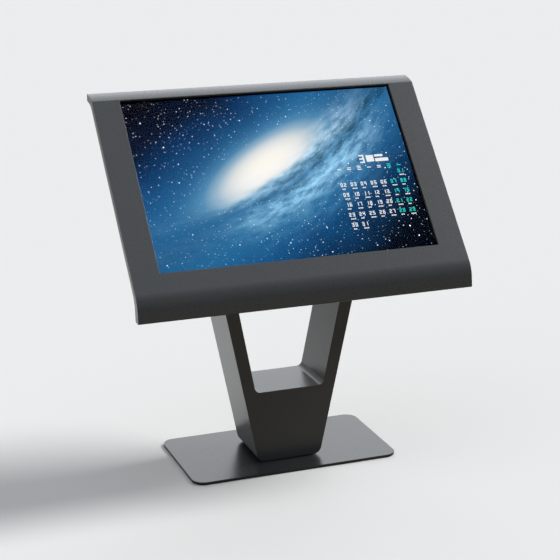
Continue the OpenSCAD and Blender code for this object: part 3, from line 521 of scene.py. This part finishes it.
def ink_border(material):
    """The black border printed on the back of the glass."""
    width, height, _ = head_size("touch_glass")
    x1, up1 = width / 2 - INK_RIM, height / 2 - INK_RIM
    x0, up0 = width / 2 - GLASS_LAP - INK_SHOWN, height / 2 - GLASS_LAP - INK_SHOWN
    sides = [bar(-x1, up0, x1, up1), bar(-x1, -up1, x1, -up0),
             bar(-x1, -up0, -x0, up0), bar(x0, -up0, x1, up0)]
    mesh = plates("ink_border", sides, GLASS_GAP - 2 * INK_T, INK_T)
    add_piece("ink_border", mesh, material)


# Which of the seven strokes of a numeral are drawn: top, upper left, upper right, middle,
# lower left, lower right, bottom
STROKES = ("1110111", "0010010", "1011101", "1011011", "0111010",
           "1101011", "1101111", "1010010", "1111111", "1111011")
# A numeral's width, and half the space between two, in its heights
NUMERAL_W = 0.56
NUMERAL_SPACE = 0.16


def numeral(digit, x, up, height, stroke):
    """A plain numeral's strokes, with its lower left corner at (x, up)."""
    width = NUMERAL_W * height
    half = (height - stroke) / 2
    right, top = width - stroke, height - stroke
    places = [
        (0, top, width, height), (0, half, stroke, height), (right, half, width, height),
        (0, half, width, half + stroke), (0, 0, stroke, half + stroke),
        (right, 0, width, half + stroke), (0, 0, width, stroke)]
    return [bar(x + a, up + b, x + c, up + d)
            for drawn, (a, b, c, d) in zip(STROKES[digit], places) if drawn == "1"]


def number(value, x, up, height, stroke):
    """Two numerals centred on x."""
    tens = numeral(value // 10, x - (NUMERAL_W + NUMERAL_SPACE) * height, up, height, stroke)
    return tens + numeral(value % 10, x + NUMERAL_SPACE * height, up, height, stroke)


# The first row's left column on the display's face, and the steps to the next column and row. The first day
# falls in the seventh column, and the columns from the sixth on are the weekend.
CALENDAR_LEFT = 205 * MM
CALENDAR_TOP = -18 * MM
DAY_PITCH = 35 * MM
WEEK_PITCH = 36 * MM
WEEK = 7
WEEKEND = 5
DAYS = 31
FIRST_DAY = 6
DAY_H = 13.5 * MM
DAY_STROKE = 2.4 * MM
# Bars above each column: their width, thickness, pitch, and the middle one's height above the first row
MARK_W = 13 * MM
MARK_T = 3 * MM
MARK_PITCH = 6 * MM
MARK_UP = 20 * MM
# Dashes below each day: their width, thickness, pitch, and place from the middle of the number
DASH_W = 4.5 * MM
DASH_T = 4 * MM
DASH_PITCH = 6 * MM
DASH_PLACE = (-7 * MM, -17 * MM)
# The heading's place from the first day, its numeral, and its bars in millimetres: (x, up, width, height)
HEADING_PLACE = (80 * MM, 38 * MM)
HEADING_H = 30 * MM
HEADING_STROKE = 5 * MM
HEADING_BARS = ((24, 3, 26, 24), (54, 20, 30, 8), (54, 2, 46, 12))
# The lit shapes stand this far off the display's face, and are this thick
WIDGET_BACK = 0.02 * MM
WIDGET_T = 0.2 * MM


def column_marks(column):
    """One to three short bars above a column."""
    x = CALENDAR_LEFT + column * DAY_PITCH
    more = column % 3
    rows = [CALENDAR_TOP + MARK_UP + (line - more / 2) * MARK_PITCH for line in range(more + 1)]
    return [bar(x - MARK_W / 2, up, x + MARK_W / 2, up + MARK_T) for up in rows]


def day_dashes(day, x, up):
    """Two or three short dashes below a day."""
    low = up + DASH_PLACE[1]
    starts = [x + DASH_PLACE[0] + i * DASH_PITCH for i in range(2 + day % 2)]
    return [bar(start, low, start + DASH_W, low + DASH_T) for start in starts]


def heading():
    """A numeral for the month, and plain bars."""
    x, up = CALENDAR_LEFT + HEADING_PLACE[0], CALENDAR_TOP + HEADING_PLACE[1]
    shapes = numeral(3, x, up, HEADING_H, HEADING_STROKE)
    for left, low, width, height in HEADING_BARS:
        shapes.append(bar(x + left * MM, up + low * MM, x + (left + width) * MM, up + (low + height) * MM))
    return shapes


def calendar(white, teal):
    """A month of plain numbers with dashes below them, marks above the columns and a heading."""
    weekdays, weekend = [], []
    for column in range(WEEK):
        shapes = weekdays if column < WEEKEND else weekend
        shapes += column_marks(column)
    for day in range(1, DAYS + 1):
        week, column = divmod(day - 1 + FIRST_DAY, WEEK)
        x = CALENDAR_LEFT + column * DAY_PITCH
        up = CALENDAR_TOP - week * WEEK_PITCH
        shapes = weekdays if column < WEEKEND else weekend
        shapes += number(day, x, up - DAY_H / 2, DAY_H, DAY_STROKE)
        weekdays += day_dashes(day, x, up)
    weekdays += heading()
    pieces = (("calendar_days", weekdays, white), ("calendar_weekends", weekend, teal))
    for name, shapes, material in pieces:
        add_piece(name, plates(name, shapes, WIDGET_BACK, WIDGET_T), material)


# ---------- edges of the CAD pieces ----------

# Degrees: edges flatter than the first shade smooth, and edges sharper than the second are rounded
SMOOTH_ANGLE = 28
BEVEL_ANGLE = 40
BEVEL_SEGMENTS = 2
# Points closer than this are one
WELD_GAP = 0.002 * MM
# Radii of the rounded edges in millimetres
BEVELS = {"front_cover": 0.7, "stand_front_plate": 0.5, "stand_rear_plate": 0.5, "base_plate": 1.0,
          "service_door": 0.5, "pedestal_door": 0.5, "inlet_plate": 0.4, "touch_glass": 0.4}
# Large faces set the shading along their edges
BY_AREA = 100


def smooth_by_angle(limit):
    """A modifier tree that shades smooth across edges flatter than the limit, in degrees."""
    tree = bpy.data.node_groups.new("smooth_by_angle", "GeometryNodeTree")
    for way in ("INPUT", "OUTPUT"):
        tree.interface.new_socket("Geometry", in_out=way, socket_type="NodeSocketGeometry")
    nodes = Nodes(tree)
    source = nodes.add("NodeGroupInput", {}).outputs[0]
    angle = nodes.add("GeometryNodeInputMeshEdgeAngle", {}).outputs["Unsigned Angle"]
    flat = nodes.add("FunctionNodeCompare", {0: angle, 1: math.radians(limit)}, operation="LESS_THAN")
    faces = nodes.add("GeometryNodeSetShadeSmooth", {0: source, "Shade Smooth": True}, domain="FACE")
    edges = nodes.add("GeometryNodeSetShadeSmooth",
                      {0: faces.outputs[0], "Shade Smooth": flat.outputs[0]}, domain="EDGE")
    nodes.add("NodeGroupOutput", {0: edges.outputs[0]})
    return tree


def finish_edges(node, smooth):
    """Small edge radii and clean shading, by modifiers."""
    piece = frame["nodes"][node]
    custom = piece.data.attributes.get("custom_normal")
    if custom:
        piece.data.attributes.remove(custom)
    piece.modifiers.new("weld", "WELD").merge_threshold = WELD_GAP
    if node in BEVELS:
        bevel = piece.modifiers.new("edges", "BEVEL")
        bevel.width = BEVELS[node] * MM
        bevel.segments = BEVEL_SEGMENTS
        bevel.limit_method = "ANGLE"
        bevel.angle_limit = math.radians(BEVEL_ANGLE)
        bevel.use_clamp_overlap = False
    piece.modifiers.new("smooth", "NODES").node_group = smooth
    flats = piece.modifiers.new("flats", "WEIGHTED_NORMAL")
    flats.keep_sharp = True
    flats.weight = BY_AREA


# ---------- materials of the CAD pieces ----------

def make_materials():
    """One material for each slot of the record."""
    charcoal = rgb(0.068, 0.074, 0.079)
    return {
        "cover_paint": powder_coat("cover_paint", charcoal, 0.28),
        "stand_paint": powder_coat("stand_paint", shade(charcoal, 1.05), 0.31),
        # base_paint is painted shade: the same charcoal paint as the rest, darkened to about a third so the base
        # looks shaded in front of the pedestal
        "base_paint": powder_coat("base_paint", shade(charcoal, 0.32), 0.29),
        "tub_paint": powder_coat("tub_paint", shade(charcoal, 0.9), 0.40),
        "screen_glass": clear_glass("screen_glass"),
        "display_face": star_field("display_face"),
        "light_guide": acrylic_guide("light_guide"),
        "tray_metal": rolled_sheet("tray_metal", rgb(0.62, 0.63, 0.65), 0.38),
        "galvanised": rolled_sheet("galvanised", rgb(0.50, 0.51, 0.52), 0.42),
        "bright_steel": turned_metal("bright_steel", rgb(0.66, 0.66, 0.66), 0.25),
        "black_screw": turned_metal("black_screw", rgb(0.10, 0.10, 0.10), 0.35),
        "lock_chrome": turned_metal("lock_chrome", rgb(0.75, 0.76, 0.78), 0.10),
        "button_steel": turned_metal("button_steel", rgb(0.62, 0.62, 0.63), 0.22),
        "inlet_metal": rolled_sheet("inlet_metal", rgb(0.58, 0.59, 0.60), 0.36),
        "contact_brass": turned_metal("contact_brass", rgb(0.78, 0.62, 0.32), 0.22),
        "mat_rubber": moulded("mat_rubber", rgb(0.020, 0.020, 0.020), 0.8, 0.1 * MM, 500),
        "seal_foam": moulded("seal_foam", rgb(0.070, 0.067, 0.062), 0.9, 0.15 * MM, 1200),
        "grommet_rubber": moulded("grommet_rubber", rgb(0.020, 0.020, 0.020), 0.6),
        "black_plastic": moulded("black_plastic", rgb(0.030, 0.030, 0.030), 0.5),
        "rocker_plastic": moulded("rocker_plastic", rgb(0.050, 0.050, 0.050), 0.25, 0.01 * MM),
        "case_black": moulded("case_black", rgb(0.035, 0.036, 0.038), 0.42, 0.02 * MM, 1400),
        "case_grey": rolled_sheet("case_grey", rgb(0.55, 0.56, 0.57), 0.4),
        "board_green": circuit_board("board_green", rgb(0.015, 0.120, 0.050)),
        "flex_film": striped_film("flex_film", rgb(0.55, 0.30, 0.06), rgb(0.25, 0.10, 0.03),
                                  1.0 * MM, 0.5),
        "ribbon_film": striped_film("ribbon_film", rgb(0.80, 0.80, 0.78), rgb(0.50, 0.50, 0.50),
                                    1.25 * MM, 0.4),
        "cone_paper": paper_cone("cone_paper", rgb(0.040, 0.040, 0.040)),
        "mains_jacket": ribbed_jacket("mains_jacket", rgb(0.020, 0.020, 0.020)),
        "network_jacket": ribbed_jacket("network_jacket", rgb(0.06, 0.16, 0.38)),
        "clip_nylon": moulded("clip_nylon", rgb(0.80, 0.80, 0.77), 0.4, 0.01 * MM),
    }


def dress_frame(materials):
    """Every CAD node gets its slot's material and its edges."""
    smooth = smooth_by_angle(SMOOTH_ANGLE)
    for subpart in frame["record"]["subparts"]:
        piece = frame["nodes"][subpart["node"]]
        piece.data.materials.clear()
        piece.data.materials.append(materials[subpart["material_slot"]])
        finish_edges(subpart["node"], smooth)


# ---------- stage ----------

FLOOR_RADIUS = 60
FLOOR_SIDES = 96
FLOOR_SEEN = rgb(0.700, 0.697, 0.690)
# What the floor throws up at the kiosk, in front of it and behind it, as if its front were flagged off
FLOOR_FRONT = rgb(0.26, 0.222, 0.180)
FLOOR_BACK = rgb(0.85, 0.85, 0.84)
FLOOR_TURN = (-0.5, 0.6)
# Far behind the kiosk it throws up this share
FLOOR_FAR = 0.6
FLOOR_FADE = (1.2, 3.2)


def make_floor():
    """A wide pale floor."""
    bm = bmesh.new()
    bmesh.ops.create_circle(bm, cap_ends=True, segments=FLOOR_SIDES, radius=FLOOR_RADIUS)
    mesh = bpy.data.meshes.new("floor")
    bm.to_mesh(mesh)
    bm.free()
    floor = bpy.data.objects.new("floor", mesh)
    bpy.context.scene.collection.objects.link(floor)
    f = Finish("floor", 1.0, specular=0.0)
    seen = f.add("ShaderNodeLightPath", {}).outputs["Is Camera Ray"]
    depth = f.add("ShaderNodeSeparateXYZ", {0: f.place}).outputs["Y"]
    bounce = f.mix(f.smooth(depth, *FLOOR_TURN), FLOOR_FRONT, FLOOR_BACK)
    bounce = f.dim(bounce, f.smooth(depth, *FLOOR_FADE, 1.0, FLOOR_FAR))
    f.set("Base Color", f.mix(seen, bounce, FLOOR_SEEN))
    mesh.materials.append(f.material)


# The studio's soft lights on its dim surround: (direction, cosine at the light's edge, cosine where it is
# full, colour)
SURROUND = rgb(0.08, 0.08, 0.09)
LOBES = (
    (Vector((-0.20, -0.35, 0.92)), 0.68, 0.96, rgb(0.60, 0.645, 0.71)),
    (Vector((0.34, 0.90, 0.20)), 0.60, 0.95, rgb(0.95, 1.00, 1.04)),
    (Vector((0.34, 0.75, 0.55)), 0.80, 0.98, rgb(1.15, 1.18, 1.22)),
    (Vector((-1.0, 0.30, 0.00)), 0.30, 0.95, rgb(0.56, 0.57, 0.50)),
)
# Behind the viewer the studio is dark: (direction, edge, full part, share of the light left)
DARK_SIDE = (Vector((0.10, -1.0, 0.0)), 0.20, 0.80, 0.10)
# What the camera sees past the floor
BACKDROP = rgb(0.830, 0.835, 0.835)


def make_sky():
    """Soft light from all round, and a plain backdrop for the camera."""
    world = bpy.data.worlds.new("studio")
    world.use_nodes = True
    bpy.context.scene.world = world
    n = Nodes(world.node_tree)
    background = world.node_tree.nodes["Background"]
    towards = n.add("ShaderNodeTexCoord", {}).outputs["Generated"]
    light = SURROUND
    for lobe, low, high, colour in LOBES:
        share = n.smooth(n.vector("DOT_PRODUCT", towards, lobe.normalized()), low, high)
        light = n.vector("ADD", light, n.dim(colour, share))
    lobe, low, high, left = DARK_SIDE
    facing = n.smooth(n.vector("DOT_PRODUCT", towards, lobe.normalized()), low, high, 1.0, left)
    light = n.dim(light, facing)
    seen = n.add("ShaderNodeLightPath", {}).outputs["Is Camera Ray"]
    n.put(background.inputs["Color"], n.mix(seen, light, BACKDROP))


# The direction across the floor to the sun, and its elevation and width in degrees
SUN_SIDE = Vector((1.0, -0.03, 0.0))
SUN_ELEVATION = 42
SUN_ANGLE = 19
SUN_STRENGTH = 3.17


def make_sun():
    """The soft light that throws the kiosk's shadow."""
    sun = bpy.data.objects.new("sun", bpy.data.lights.new("sun", "SUN"))
    bpy.context.scene.collection.objects.link(sun)
    e = math.radians(SUN_ELEVATION)
    towards = SUN_SIDE.normalized() * math.cos(e) + Vector((0, 0, math.sin(e)))
    sun.rotation_mode = "QUATERNION"
    sun.rotation_quaternion = towards.to_track_quat("Z", "Y")
    sun.data.energy = SUN_STRENGTH
    sun.data.angle = math.radians(SUN_ANGLE)
    # The glass would mirror the sun's whole disc, so the sun leaves it out
    unlit = bpy.data.collections.new("not_sunlit")
    unlit.objects.link(frame["nodes"]["touch_glass"])
    sun.light_linking.receiver_collection = unlit
    unlit.collection_objects[0].light_linking.link_state = "EXCLUDE"


# ---------- all of it ----------

make_camera()
bpy.context.scene.view_settings.view_transform = "Standard"
made = make_materials()
dress_frame(made)
ink_border(moulded("ink_black", rgb(0.004, 0.004, 0.004), 0.5, 0.002 * MM))
calendar(lit("widget_white", rgb(0.93, 0.95, 0.97)), lit("widget_teal", rgb(0.02, 0.70, 0.62)))
make_floor()
make_sky()
make_sun()
